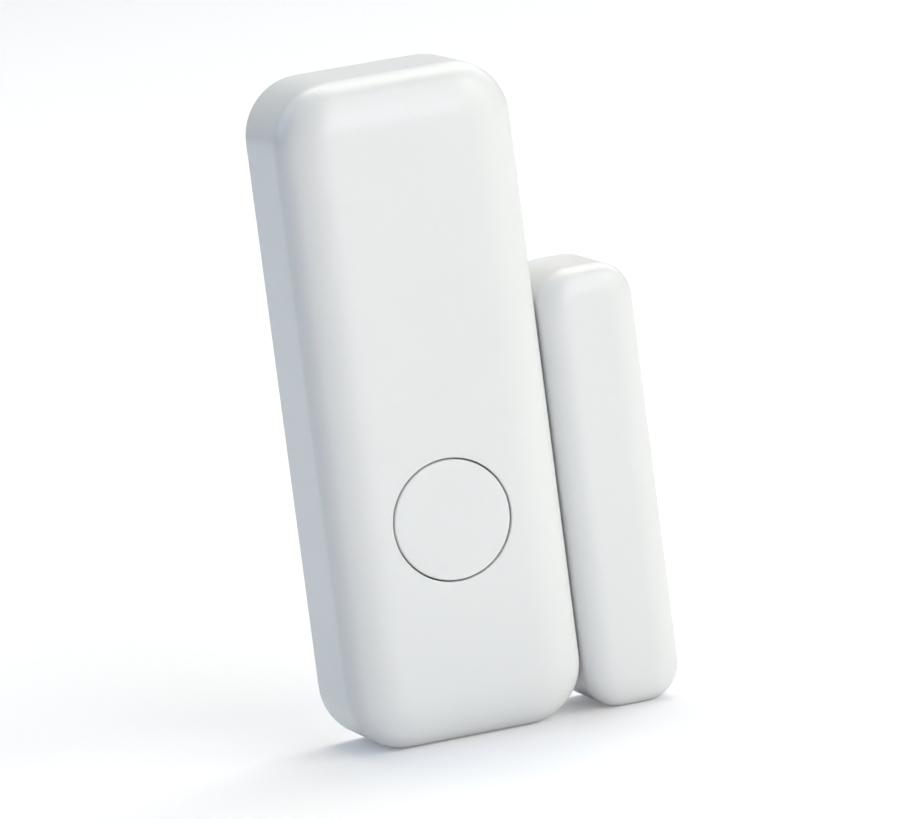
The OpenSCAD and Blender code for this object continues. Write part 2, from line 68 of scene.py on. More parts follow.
class Span:
    """A CAD node's box at rest, in millimetres: across, up, and out from the wall."""

    def __init__(self, node):
        low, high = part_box(node)
        self.left, self.right = low.x / MM, high.x / MM
        self.bottom, self.top = low.z / MM, high.z / MM
        self.rear, self.front = -high.y / MM, -low.y / MM
        self.centre = ((self.left + self.right) / 2, (self.bottom + self.top) / 2)
        self.w, self.h = self.right - self.left, self.top - self.bottom


SHELL = Span("front_shell")
COVER = Span("magnet_cover")
PLATE = Span("back_plate")
MAGNET_PLATE = Span("magnet_back_plate")
TAPE = Span("mounting_tape")
MAGNET_TAPE = Span("magnet_tape")
BAR = Span("bar_magnet")
CELL = Span("coin_cell")
BOARD = Span("circuit_board")
BUTTON = Span("button_cap")
SCREWS = Span("board_screws")

# Housings: corner radius seen from the front, the two radii of the front edge, and the wall
SENSOR_CORNER, SENSOR_EDGE, SENSOR_CROWN, SENSOR_WALL = 6.4, 3.3, 7.9, 1.6
COVER_CORNER, COVER_EDGE, COVER_CROWN, COVER_WALL = 4.0, 2.0, 4.4, 1.4
EDGE_TURN = math.radians(60)            # where the small front radius hands over to the large one
REAR_ROUND, RIM_ROUND = 0.4, 0.12       # the rear edge, outside and inside
STEP = 0.02                             # how wide a wall is that stands straight out of a face
CORNER_STEPS = 12
SHELL_INNER = SHELL.front - SENSOR_WALL

# Pry notches in the lower ends, clips on the two back plates, and the pockets that they snap into
NOTCH_W, NOTCH_D, NOTCH_ROUND = 8.0, 1.2, 0.3
CLIP_W, CLIP_T, CLIP_H = 6.0, 1.1, 3.0
CLIP_Z = SHELL.h / 2 - 11
MAGNET_CLIP_W, MAGNET_CLIP_T = 2.4, 1.0
POCKET_T, POCKET_REAR, POCKET_FRONT = 0.4, 3.6, 4.8

# Screw bosses and locating pins, which the shell and the circuit board share
BOSSES = [(0.0, side * (SCREWS.h / 2 - 1.8)) for side in (-1, 1)]
PINS = [(side * (SHELL.w / 2 - 4.8), -(SHELL.h / 2 - 7.5)) for side in (-1, 1)]
HOLDER_R = 11.2                         # the battery holder's outside, which the clip bends round

# Button, and what is under it on the shell
BUTTON_AT = (0.0, -12.0)
HOLE_R, CAP_R = 6.65, 6.47
HOLE_ROUND, CAP_ROUND = 0.12, 0.18
GUIDE_R, GUIDE_T, GUIDE_H = 7.25, 0.8, 1.2
KEY_HALF = 0.85


# -------------------- node helpers

EVEN = (1.0, 1.0, 1.0)


def feed(tree, node, inputs):
    """Sets a node's inputs, each to a number or a colour, or from another node's output."""
    for name, value in inputs.items():
        if isinstance(value, bpy.types.NodeSocket):
            tree.links.new(value, node.inputs[name])
        else:
            node.inputs[name].default_value = value


def add(tree, kind, inputs):
    """A new node of a kind, with its inputs set."""
    node = tree.nodes.new("ShaderNode" + kind)
    feed(tree, node, inputs)
    return node


def new_material(name):
    """A node material with a principled shader and nothing else."""
    material = bpy.data.materials.new(name)
    material.use_nodes = True
    tree = material.node_tree
    tree.nodes.clear()
    shader = add(tree, "BsdfPrincipled", {})
    add(tree, "OutputMaterial", {"Surface": shader.outputs["BSDF"]})
    return material, tree, shader


def noise(tree, scale, detail, roughness=0.55, stretch=EVEN):
    """Noise in object space, in features per metre, stretched for drawn or woven finishes."""
    place = add(tree, "TexCoord", {}).outputs["Object"]
    if stretch != EVEN:
        place = add(tree, "Mapping", {"Vector": place, "Scale": stretch}).outputs["Vector"]
    inputs = {"Vector": place, "Scale": scale, "Detail": detail, "Roughness": roughness}
    return add(tree, "TexNoise", inputs).outputs["Fac"]


def cells(tree, scale):
    """Voronoi distance in object space, for foam cells."""
    place = add(tree, "TexCoord", {}).outputs["Object"]
    return add(tree, "TexVoronoi", {"Vector": place, "Scale": scale}).outputs["Distance"]


def spread(tree, value, low, high, start=0.3, end=0.7):
    """A value between start and end stretched onto low to high."""
    inputs = {"Value": value, "From Min": start, "From Max": end, "To Min": low, "To Max": high}
    return add(tree, "MapRange", inputs).outputs["Result"]


def two_colours(tree, factor, first, second):
    """A mix of two colours, each given as a tuple or as another node's output."""
    node = tree.nodes.new("ShaderNodeMix")
    node.data_type = "RGBA"
    first, second = [(*c, 1.0) if isinstance(c, tuple) else c for c in (first, second)]
    feed(tree, node, {"Factor": factor, "A": first, "B": second})
    return node.outputs["Result"]


def mottled(tree, texture, first, second):
    """Two colours mixed in soft patches by a texture."""
    return two_colours(tree, spread(tree, texture, 0.0, 1.0), first, second)


def bump(tree, shader, height, distance, under=None):
    """Bump of a real height in millimetres, on top of another bump when under is given."""
    node = add(tree, "Bump", {"Strength": 1.0, "Distance": distance * MM, "Height": height})
    if under is not None:
        feed(tree, node, {"Normal": under})
    feed(tree, shader, {"Normal": node.outputs["Normal"]})
    return node.outputs["Normal"]


# -------------------- materials

def plastic(name, colour, shade, rough, grain=5200, depth=0.0015):
    """Moulded plastic: faint clouding, uneven gloss, slight waviness and a fine mould texture."""
    material, tree, shader = new_material(name)
    feed(tree, shader, {
        "Base Color": mottled(tree, noise(tree, 60, 3), colour, shade),
        "Roughness": spread(tree, noise(tree, 900, 5), rough - 0.015, rough + 0.02),
        "IOR": 1.5})
    waviness = bump(tree, shader, noise(tree, 120, 2), 0.004)
    bump(tree, shader, noise(tree, grain, 3), depth, under=waviness)
    return material


def metal(name, colour, shade, rough, stretch=EVEN, scratch=1800, depth=0.002):
    """Plated or rolled metal, with drawn lines where stretch is uneven."""
    material, tree, shader = new_material(name)
    lines = noise(tree, scratch, 4, 0.6, stretch)
    feed(tree, shader, {
        "Metallic": 1.0,
        "Base Color": mottled(tree, noise(tree, 240, 4), colour, shade),
        "Roughness": spread(tree, lines, rough - 0.08, rough + 0.12)})
    bump(tree, shader, lines, depth)
    return material


def foam(name, colour, shade, cell_scale, depth):
    """Closed-cell foam: round cells with grooves between them, painted shade darkening the grooves,
    and no gloss.
    """
    material, tree, shader = new_material(name)
    distance = cells(tree, cell_scale)
    feed(tree, shader, {
        # painted shade: the colour darkens towards the cell edges, in the grooves that the bump below
        # sinks
        "Base Color": two_colours(tree, spread(tree, distance, 0.0, 1.0, 0.1, 0.7), colour, shade),
        "Roughness": 0.9,
        "Specular IOR Level": 0.25})
    coarse = bump(tree, shader, distance, -depth)
    bump(tree, shader, noise(tree, 2 * cell_scale, 4), 0.4 * depth, under=coarse)
    return material


def board_green(name, low, high, lift):
    """Glossy solder mask in two greens, with bare glass-fibre board at the cut edges."""
    material, tree, shader = new_material(name)
    mask = mottled(tree, noise(tree, 260, 4), low, high)
    weave = noise(tree, 2400, 2, 0.5, (1.0, 0.15, 0.3))
    edge = mottled(tree, weave, (0.36, 0.33, 0.14), (0.47, 0.44, 0.22))
    normal = add(tree, "NewGeometry", {}).outputs["Normal"]
    split = add(tree, "SeparateXYZ", {"Vector": normal})
    facing = add(tree, "Math", {0: split.outputs["Y"]})
    facing.operation = "ABSOLUTE"
    face = spread(tree, facing.outputs["Value"], 0.0, 1.0, 0.6, 0.7)
    feed(tree, shader, {
        "Base Color": two_colours(tree, face, edge, mask),
        "Roughness": spread(tree, noise(tree, 700, 4), 0.24, 0.36)})
    woven = bump(tree, shader, noise(tree, 1600, 2, 0.5, (1.0, 1.0, 0.2)), lift)
    bump(tree, shader, noise(tree, 3000, 3), 0.002, under=woven)
    return material


def glass(name):
    """Faintly green glass, wavy where it was drawn and sealed."""
    material, tree, shader = new_material(name)
    feed(tree, shader, {
        "Base Color": mottled(tree, noise(tree, 500, 3), (0.80, 0.95, 0.86), (0.90, 0.98, 0.93)),
        "Roughness": 0.03,
        "IOR": 1.51,
        "Transmission Weight": 1.0})
    bump(tree, shader, noise(tree, 700, 2, 0.4, (1.0, 1.0, 0.2)), 0.01)
    return material


def resin(name):
    """Milky yellow resin over a light emitting diode."""
    material, tree, shader = new_material(name)
    feed(tree, shader, {
        "Base Color": mottled(tree, noise(tree, 2600, 4), (0.82, 0.74, 0.32), (0.90, 0.84, 0.50)),
        "Roughness": 0.25,
        "Subsurface Weight": 0.6,
        "Subsurface Radius": (1.0, 0.8, 0.4),
        "Subsurface Scale": 0.3 * MM})
    bump(tree, shader, noise(tree, 1500, 3), 0.004)
    return material


WHITE, WHITE_SHADE = (0.80, 0.815, 0.815), (0.785, 0.80, 0.802)
DRAWN_UP, DRAWN_ACROSS = (1.0, 1.0, 0.1), (0.05, 1.0, 1.0)

# Each row: what makes the material, its colour, its second colour, and its other numbers
FINISHES = {
    "housing_white": (plastic, WHITE, WHITE_SHADE, 0.30),
    "button_white": (plastic, (0.805, 0.82, 0.822), WHITE_SHADE, 0.29, 6400, 0.001),
    "plate_white": (plastic, (0.74, 0.745, 0.73), (0.70, 0.71, 0.70), 0.45, 3800, 0.003),
    "plunger_white": (plastic, (0.78, 0.78, 0.75), (0.72, 0.72, 0.70), 0.35),
    "white_print": (plastic, (0.78, 0.78, 0.76), (0.70, 0.70, 0.69), 0.5),
    "black_plastic": (plastic, (0.018, 0.018, 0.02), (0.028, 0.028, 0.03), 0.42, 4200, 0.004),
    "chip_black": (plastic, (0.012, 0.012, 0.013), (0.022, 0.022, 0.023), 0.5, 9000, 0.004),
    "chip_ceramic": (plastic, (0.42, 0.30, 0.19), (0.50, 0.37, 0.25), 0.4, 9000, 0.003),
    "gasket": (plastic, (0.03, 0.03, 0.035), (0.05, 0.05, 0.055), 0.5),
    "tape_foam": (foam, (0.60, 0.61, 0.61), (0.50, 0.51, 0.52), 3400, 0.05),
    "grey_foam": (foam, (0.16, 0.16, 0.165), (0.08, 0.08, 0.085), 2200, 0.12),
    "board_green": (board_green, (0.004, 0.080, 0.030), (0.006, 0.105, 0.040), 0.006),
    "track_green": (board_green, (0.010, 0.155, 0.060), (0.014, 0.185, 0.075), 0.003),
    "steel": (metal, (0.62, 0.62, 0.63), (0.53, 0.53, 0.55), 0.28),
    "cell_steel": (metal, (0.66, 0.665, 0.67), (0.60, 0.605, 0.615), 0.30, (1.0, 1.0, 0.04), 9000),
    "nickel": (metal, (0.66, 0.63, 0.57), (0.60, 0.57, 0.52), 0.24, DRAWN_ACROSS, 6000),
    "tinned": (metal, (0.70, 0.70, 0.70), (0.60, 0.60, 0.61), 0.34, EVEN, 2600, 0.004),
    "brass_wire": (metal, (0.83, 0.60, 0.25), (0.74, 0.50, 0.20), 0.24, DRAWN_UP, 4000),
    "magnet_nickel": (metal, (0.64, 0.62, 0.59), (0.58, 0.56, 0.53), 0.2, EVEN, 900),
    "reed_glass": (glass,),
    "led_resin": (resin,),
}
MATERIALS = {name: make(name, *numbers) for name, (make, *numbers) in FINISHES.items()}


# -------------------- shapes, each a list of points and faces

def joined(rings, closed=False):
    """Quads between rings of equal length, and from the last back to the first if closed."""
    count = len(rings[0])
    points = [p for ring in rings for p in ring]
    faces = []
    for k in range(len(rings) if closed else len(rings) - 1):
        a, b = k * count, (k + 1) % len(rings) * count
        faces += [(a + i, a + (i + 1) % count, b + (i + 1) % count, b + i) for i in range(count)]
    return points, faces


def arc(centre, radius, start, end, steps):
    """Points on an arc, from start to end in radians, both ends included."""
    angles = [start + (end - start) * i / steps for i in range(steps + 1)]
    return [(centre[0] + radius * math.cos(a), centre[1] + radius * math.sin(a)) for a in angles]


def lathe(profile, at, steps):
    """Turns a closed profile of (radius, depth) about the axis at one place. Radius 0 is a pole."""
    turns = [2 * math.pi * i / steps for i in range(steps)]
    turns = [(math.cos(turn), math.sin(turn)) for turn in turns]
    points, starts = [], []
    for radius, depth in profile:
        starts.append(len(points))
        ring = turns if radius > 0 else [(0.0, 0.0)]
        points += [(at[0] + radius * c, at[1] + radius * s, depth) for c, s in ring]
    faces = []
    for k, (radius, _) in enumerate(profile):
        after = (k + 1) % len(profile)
        a, b = starts[k], starts[after]
        for i in range(steps):
            j = (i + 1) % steps
            if radius > 0 and profile[after][0] > 0:
                faces.append((a + i, a + j, b + j, b + i))
            elif radius > 0:
                faces.append((a + i, a + j, b))
            elif profile[after][0] > 0:
                faces.append((a, b + j, b + i))
    return points, faces


def pipe(at, inner, outer, rear, front):
    """A tube with rounded rear edges, whose front end is sunk into a wall."""
    edge = 0.1
    rim = arc((outer - edge, rear + edge), edge, 0, -math.pi / 2, 3)
    lip = arc((inner + edge, rear + edge), edge, -math.pi / 2, -math.pi, 3)
    return lathe([(outer, front), *rim, *lip, (inner, front)], at, 48)


def swept(section, at, start, end, steps):
    """Sweeps a closed section of (radius, depth) round an axis, from start to end in radians."""
    rings = []
    for i in range(steps + 1):
        turn = start + (end - start) * i / steps
        c, s = math.cos(turn), math.sin(turn)
        rings.append([(at[0] + r * c, at[1] + r * s, z) for r, z in section])
    points, faces = joined(rings)
    count = len(section)
    return points, faces + [tuple(range(count)), tuple(steps * count + i for i in range(count))]


def bar_section(inner, outer, rear, front, edge):
    """A rectangle of (radius, depth) with cut corners."""
    return [(inner, rear + edge), (inner + edge, rear), (outer - edge, rear), (outer, rear + edge),
            (outer, front - edge), (outer - edge, front), (inner + edge, front),
            (inner, front - edge)]


def block(at, size, rear, front, edge=0.12):
    """A box with rounded edges, given by its middle, its size and its two heights."""
    mesh = bmesh.new()
    bmesh.ops.create_cube(mesh, size=1.0)
    scale = (size[0], size[1], front - rear)
    bmesh.ops.scale(mesh, vec=scale, verts=mesh.verts)
    bmesh.ops.translate(mesh, vec=(at[0], at[1], (rear + front) / 2), verts=mesh.verts)
    offset = min(edge, min(scale) / 3)
    bmesh.ops.bevel(mesh, geom=mesh.edges[:], offset=offset, segments=2, profile=0.5, affect="EDGES")
    mesh.verts.index_update()
    points = [tuple(v.co) for v in mesh.verts]
    faces = [tuple(v.index for v in f.verts) for f in mesh.faces]
    mesh.free()
    return points, faces


def round_outline(w, h, r, at=(0.0, 0.0)):
    """The outline of a rectangle with rounded corners, anticlockwise."""
    corners = [(1, 1, 0.0), (-1, 1, 0.5), (-1, -1, 1.0), (1, -1, 1.5)]
    points = []
    for sx, sy, start in corners:
        middle = (at[0] + sx * (w / 2 - r), at[1] + sy * (h / 2 - r))
        points += arc(middle, r, start * math.pi, (start + 0.5) * math.pi, 10)
    return points


def disc_outline(at, r, steps=48):
    """The outline of a disc, anticlockwise."""
    return arc(at, r, 0.0, 2 * math.pi * (1 - 1 / steps), steps - 1)


def slab(outlines, rear, front, edge):
    """A flat sheet with rounded edges: the first outline is its outside and the others are holes."""
    curve = bpy.data.curves.new("slab", "CURVE")
    curve.dimensions = "2D"
    curve.fill_mode = "BOTH"
    curve.extrude = (front - rear) / 2 - edge
    curve.bevel_depth = edge
    curve.bevel_resolution = 2
    curve.offset = -edge
    for outline in outlines:
        spline = curve.splines.new("POLY")
        spline.points.add(len(outline) - 1)
        spline.use_cyclic_u = True
        for point, (x, y) in zip(spline.points, outline):
            point.co = (x, y, 0.0, 1.0)
    holder = bpy.data.objects.new("slab", curve)
    mesh = bpy.data.meshes.new_from_object(holder)
    middle = (rear + front) / 2
    points = [(v.co.x, v.co.y, v.co.z + middle) for v in mesh.vertices]
    faces = [tuple(f.vertices) for f in mesh.polygons]
    bpy.data.objects.remove(holder)
    bpy.data.curves.remove(curve)
    bpy.data.meshes.remove(mesh)
    return points, faces


# -------------------- making a piece

SHARP_FROM = math.radians(38)


def placed(name, data):
    """A new object in the scene."""
    made = bpy.data.objects.new(name, data)
    bpy.context.scene.collection.objects.link(made)
    return made


def piece(name, parts, body, slot, replaces, finishes=None):
    """Joins parts into one object in the frame's metres. A part's third value, if it has one, is the
    place of its finish in finishes, which starts with the slot's own."""
    points, faces, finish = [], [], []
    for part in parts:
        start = len(points)
        points += [(x * MM, -out * MM, up * MM) for x, up, out in part[0]]
        faces += [tuple(start + i for i in face) for face in part[1]]
        finish += [part[2] if len(part) > 2 else 0] * len(part[1])
    mesh = bpy.data.meshes.new(name)
    mesh.from_pydata(points, [], faces)
    mesh.polygons.foreach_set("material_index", finish)
    work = bmesh.new()
    work.from_mesh(mesh)
    bmesh.ops.remove_doubles(work, verts=work.verts, dist=1e-7)
    bmesh.ops.recalc_face_normals(work, faces=work.faces)
    work.to_mesh(mesh)
    work.free()
    mesh.shade_smooth()
    mesh.set_sharp_from_angle(angle=SHARP_FROM)
    for finish_name in finishes or [slot]:
        mesh.materials.append(MATERIALS[finish_name])
    made = placed(name, mesh)
    weighted = made.modifiers.new("weighted", "WEIGHTED_NORMAL")
    weighted.keep_sharp = True
    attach(made, body)
    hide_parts(*replaces)
    return made


# -------------------- housings

def spaced(low, high, wanted, needed=(), clear=0.25):
    """Sorted values between low and high: the needed ones, and wanted ones clear of them."""
    kept = [v for v in needed if low < v < high]
    for value in wanted:
        if low + clear < value < high - clear and all(abs(value - k) > clear for k in kept):
            kept.append(value)
    return sorted(kept)


def places(w, h, corner, sides, ends, steps=CORNER_STEPS):
    """Stations round a rounded rectangle, anticlockwise from the lower right. Each is a foot on the
    rectangle of the corners' middles, then the way out from it. sides and ends are the cuts along the
    right side and along the bottom."""
    sx, sy = w / 2 - corner, h / 2 - corner
    straights = [[(sx, y, 1, 0) for y in sides],
                 [(x, sy, 0, 1) for x in reversed(ends)],
                 [(-sx, y, -1, 0) for y in reversed(sides)],
                 [(x, -sy, 0, -1) for x in ends]]
    feet = [(sx, sy), (-sx, sy), (-sx, -sy), (sx, -sy)]
    found = []
    for quarter in range(4):
        found += straights[quarter]
        start, end = quarter * math.pi / 2, (quarter + 1) * math.pi / 2
        found += [(*feet[quarter], x, y) for x, y in arc((0.0, 0.0), 1.0, start, end, steps)]
    return found


def from_corner(stations, steps):
    """Turns a list of stations back so that it starts at the middle of the lower right corner."""
    start = -(steps // 2) - 1
    return stations[start:] + stations[:start]


def edge_profile(corner, edge, crown, inset, front):
    """The front edge as (way out, depth): a small radius, then a large one that meets the front."""
    knee = front - edge * math.sin(EDGE_TURN) - crown * (1 - math.sin(EDGE_TURN))
    small = (corner - edge, knee)
    large = (small[0] - (crown - edge) * math.cos(EDGE_TURN),
             small[1] - (crown - edge) * math.sin(EDGE_TURN))
    return (arc(small, edge - inset, 0.0, EDGE_TURN, 10)
            + arc(large, crown - inset, EDGE_TURN, math.pi / 2, 8)[1:])


def notch_floor(across, half):
    """How far the pry notch reaches out from the rear edge at a place along the lower end."""
    past = abs(across) - (half - NOTCH_ROUND)
    if past <= 0:
        return NOTCH_D
    return NOTCH_D - NOTCH_ROUND + math.sqrt(max(0.0, NOTCH_ROUND ** 2 - past ** 2))


def housing_rings(stations, at, radii, wall, rear, front, notch_half, in_pocket):
    """The rings of a housing's outer side, rear to front, and of its inner side, front to rear. radii
    are those of the corner, the edge and the crown. in_pocket tells from a station's foot and way out
    whether it lies in a clip pocket."""

    def ring(out, depth, pocket=0.0):
        points = []
        for bx, by, nx, ny in stations:
            reach = out + (pocket if in_pocket((bx, by), (nx, ny)) else 0.0)
            z = depth
            if ny == -1 and abs(bx) < notch_half:
                z = max(depth, rear + notch_floor(bx, notch_half))
            points.append((at[0] + bx + nx * reach, at[1] + by + ny * reach, z))
        return points

    within = radii[0] - wall
    rear_middle = (radii[0] - REAR_ROUND, rear + REAR_ROUND)
    rim_middle = (within + RIM_ROUND, rear + RIM_ROUND)
    pocket_rows = [(POCKET_FRONT + STEP, 0.0), (POCKET_FRONT, POCKET_T),
                   (POCKET_REAR, POCKET_T), (POCKET_REAR - STEP, 0.0)]
    outer = [ring(*p) for p in arc(rear_middle, REAR_ROUND, -math.pi / 2, 0, 4)]
    outer += [ring(*p) for p in edge_profile(*radii, 0.0, front)]
    inner = [ring(*p) for p in reversed(edge_profile(*radii, wall, front))]
    inner += [ring(within, depth, pocket) for depth, pocket in pocket_rows]
    inner += [ring(*p) for p in arc(rim_middle, RIM_ROUND, math.pi, 1.5 * math.pi, 2)]
    return outer, inner


def steps_beside(values):
    """Each value with a twin a hair's width away, so that a wall stands between the two."""
    return [v + side * STEP for v in values for side in (-0.5, 0.5)]


def notch_cuts(half):
    """Cuts along the lower end that follow the notch's rounded corners and stand beside its walls."""
    curve = [half - NOTCH_ROUND * (1 - math.sin(a * math.pi / 8)) for a in range(4)]
    return [side * v for v in [*curve, half - STEP, half + STEP] for side in (-1, 1)]


def front_shell():
    """The sensor's housing. Its stations lie on rays from the button hole, for rings that blend."""
    rear, front = SHELL.rear, SHELL.front
    sx, sy = SHELL.w / 2 - SENSOR_CORNER, SHELL.h / 2 - SENSOR_CORNER
    flat = SENSOR_EDGE + (SENSOR_CROWN - SENSOR_EDGE) * math.cos(EDGE_TURN)
    out = SENSOR_CORNER - flat
    ray_angle, rays = math.radians(2.5), 35
    fan = [math.tan(k * ray_angle) for k in range(-rays, rays + 1)]
    pocket_ends = [s * (CLIP_Z + e * CLIP_W / 2) for s in (-1, 1) for e in (-1, 1)]
    sides = spaced(-sy, sy, [BUTTON_AT[1] + (sx + out) * t for t in fan], steps_beside(pocket_ends))
    reach = sy + out + BUTTON_AT[1]
    ends = spaced(-sx, sx, [reach * t for t in fan], notch_cuts(NOTCH_W / 2))

    def in_pocket(foot, way):
        return way[1] == 0 and abs(abs(foot[1]) - CLIP_Z) < CLIP_W / 2

    stations = places(SHELL.w, SHELL.h, SENSOR_CORNER, sides, ends)
    radii = (SENSOR_CORNER, SENSOR_EDGE, SENSOR_CROWN)
    outer, inner = housing_rings(stations, (0.0, 0.0), radii, SENSOR_WALL, rear, front, NOTCH_W / 2,
                                 in_pocket)
    middle = Vector(BUTTON_AT)
    ways = [(Vector(p[:2]) - middle).normalized() for p in outer[-1]]

    def hole_ring(radius, depth):
        return [(*(middle + way * radius), depth) for way in ways]

    def towards_hole(ring, radius, depth):
        target = hole_ring(radius, depth)
        return [[tuple(Vector(a).lerp(Vector(b), share)) for a, b in zip(ring, target)]
                for share in (0.2, 0.4, 0.6, 0.8, 0.93)]

    edge_middle = (HOLE_R + HOLE_ROUND, front - HOLE_ROUND)
    edge = arc(edge_middle, HOLE_ROUND, math.pi / 2, math.pi, 4)
    face = towards_hole(outer[-1], HOLE_R + HOLE_ROUND, front)
    back = towards_hole(inner[0], HOLE_R, SHELL_INNER)
    rings = [*outer, *face, *[hole_ring(*p) for p in edge], hole_ring(HOLE_R, SHELL_INNER),
             *reversed(back), *inner]
    parts = [joined(rings, closed=True), *shell_inside()]
    return piece("front_shell_moulding", parts, "sensor_unit", "housing_white", ["front_shell"])


def shell_inside():
    """Screw bosses, locating pins, ledges for the board, and the ring that guides the button."""
    root = SHELL_INNER + 0.4            # how far in the wall they all start
    boss_hole, boss_r = 0.85, 2.1
    pin_r, pin_foot, pin_tip, pin_past, pin_edge = 0.9, 1.5, 0.25, 0.3, 0.1
    ledge, ledge_t, ledge_places = (1.2, 2.0), 1.4, (-20, 22)
    parts = []
    for side, boss, pin in zip((-1, 1), BOSSES, PINS):
        parts.append(pipe(boss, boss_hole, boss_r, BOARD.front, root))
        tip_z = BOARD.rear - pin_past
        foot = arc((pin_foot - pin_edge, BOARD.front + pin_edge), pin_edge, -math.pi / 2, 0, 2)
        tip = arc((pin_r - pin_tip, tip_z + pin_tip), pin_tip, -math.pi / 2, 0, 3)
        profile = [(0, tip_z), *tip, (pin_r, BOARD.front), *foot, (pin_foot, root), (0, root)]
        parts.append(lathe(profile, pin, 32))
        for up in ledge_places:
            at = (side * (SHELL.w / 2 - SENSOR_WALL - 0.4), up)
            parts.append(block(at, ledge, BOARD.front, BOARD.front + ledge_t))
    gap = math.asin(KEY_HALF / GUIDE_R)   # left open at the right, for the button's key
    section = bar_section(GUIDE_R, GUIDE_R + GUIDE_T, SHELL_INNER - GUIDE_H, root, 0.1)
    return [*parts, swept(section, BUTTON_AT, gap, 2 * math.pi - gap, 90)]


def filled(ring, wide, tall, depth):
    """Closes a ring with a grid of quads, blended from its four sides. wide and tall count the steps
    along the bottom and the right side, each from the middle of one corner to the middle of the next.
    The ring starts at the lower right."""
    right = ring[:tall + 1]
    top = ring[tall:tall + wide + 1][::-1]
    left = ring[tall + wide:2 * tall + wide + 1][::-1]
    bottom = ring[2 * tall + wide:] + ring[:1]
    points, faces = [], []
    for j in range(tall + 1):
        v = j / tall
        for i in range(wide + 1):
            u = i / wide
            spot = []
            for k in (0, 1):
                ruled = ((1 - v) * bottom[i][k] + v * top[i][k]
                         + (1 - u) * left[j][k] + u * right[j][k])
                twisted = ((1 - u) * ((1 - v) * bottom[0][k] + v * top[0][k])
                           + u * ((1 - v) * bottom[-1][k] + v * top[-1][k]))
                spot.append(ruled - twisted)
            points.append((*spot, depth))
    for j in range(tall):
        for i in range(wide):
            a = j * (wide + 1) + i
            faces.append((a, a + 1, a + wide + 2, a + wide + 1))
    return points, faces


def magnet_cover():
    """The magnet unit's housing, closed at its front inside and out by a grid of quads."""
    rear, front = COVER.rear, COVER.front
    sx, sy = COVER.w / 2 - COVER_CORNER, COVER.h / 2 - COVER_CORNER
    half = MAGNET_CLIP_W / 2
    sides = spaced(-sy, sy, [sy * k / 16 for k in range(-15, 16)])
    ends = spaced(-sx, sx, [0.6 * k for k in range(-3, 4)], notch_cuts(half), clear=0.1)

    def in_pocket(foot, way):
        return way[0] == 0 and abs(foot[0]) < half

    stations = from_corner(places(COVER.w, COVER.h, COVER_CORNER, sides, ends), CORNER_STEPS)
    radii = (COVER_CORNER, COVER_EDGE, COVER_CROWN)
    outer, inner = housing_rings(stations, COVER.centre, radii, COVER_WALL, rear, front, half,
                                 in_pocket)
    tall, wide = len(sides) + 1 + CORNER_STEPS, len(ends) + 1 + CORNER_STEPS
    parts = [joined(outer), joined(inner), joined([inner[-1], outer[0]]),
             filled(outer[-1], wide, tall, front), filled(inner[0], wide, tall, front - COVER_WALL)]
    return piece("magnet_cover_moulding", parts, "magnet_housing", "housing_white", ["magnet_cover"])


def button_cap():
    """The round cap: hollow at the back, with a stem in the middle and a flange with a key."""
    rear, front = BUTTON.rear, BUTTON.front
    flange_r, skirt_r, stem_r = HOLE_R + 0.45, CAP_R - 0.9, 1.8
    flange_rear, flange_front = SHELL_INNER - 0.65, SHELL_INNER - 0.15
    roof, small, large = front - 1.7, 0.1, 0.2
    top = arc((CAP_R - CAP_ROUND, front - CAP_ROUND), CAP_ROUND, math.pi / 2, 0, 5)
    profile = [(0, front), (2.0, front), (4.0, front), (5.6, front), *top, (CAP_R, flange_front),
               (flange_r, flange_front), (flange_r, flange_rear + small),
               (flange_r - small, flange_rear), (skirt_r, flange_rear), (skirt_r, roof + large),
               (skirt_r - large, roof), (stem_r + large, roof), (stem_r, roof - large),
               (stem_r, rear + small), (stem_r - small, rear), (0, rear)]
    key = block((flange_r + 0.25, BUTTON_AT[1]), (0.9, 1.4), flange_rear, flange_front, 0.08)
    parts = [lathe(profile, BUTTON_AT, 144), key]
    return piece("button_cap_moulding", parts, "button", "button_white", ["button_cap"])


front_shell()
magnet_cover()
button_cap()


# -------------------- what stays on the wall

SCREW_HOLE_R, SCREW_HEAD_R, SCREW_RING, SINK = 1.6, 2.8, 0.7, 0.9
SENSOR_SCREW_PITCH, MAGNET_SCREW_PITCH = 54.0, 35.0
PLATE_T, PLATE_EDGE, PLATE_GAP = 1.4, 0.15, 0.12
PROUD, SUNK = 0.01, 0.2                 # how far a part stands out of the face it lies in, or is sunk
BUMP_T, BUMP_REAR, BUMP_FRONT, BUMP_EDGE = 0.3, 1.6, 2.4, 0.09
BUMP_IN = 0.05                          # from the plate's side to the middle of a clip's bump


def countersunk(at, rear, front, rim):
    """The ring round a screw hole: countersunk from the front, with a rim that may be raised."""
    outer, small = SCREW_HEAD_R + SCREW_RING, 0.1
    top = front + max(rim, PROUD)
    profile = [(SCREW_HOLE_R + small, rear - PROUD), (outer, rear - PROUD), (outer, top - small),
               (outer - small, top), (SCREW_HEAD_R + small, top), (SCREW_HEAD_R, top - small),
               (SCREW_HEAD_R, front), (SCREW_HOLE_R, front - SINK), (SCREW_HOLE_R, rear + small)]
    return lathe(profile, at, 64)


def plate(w, h, corner, at, rear, pitch, rim):
    """A flat plate with its two countersunk screw holes."""
    screws = [(at[0], at[1] + side * pitch / 2) for side in (-1, 1)]
    hole = SCREW_HEAD_R + SCREW_RING - PLATE_EDGE - 0.05
    parts = [countersunk(spot, rear, rear + PLATE_T, rim) for spot in screws]
    holes = [disc_outline(spot, hole) for spot in screws]
    return parts + [slab([round_outline(w, h, corner, at), *holes], rear, rear + PLATE_T, PLATE_EDGE)]


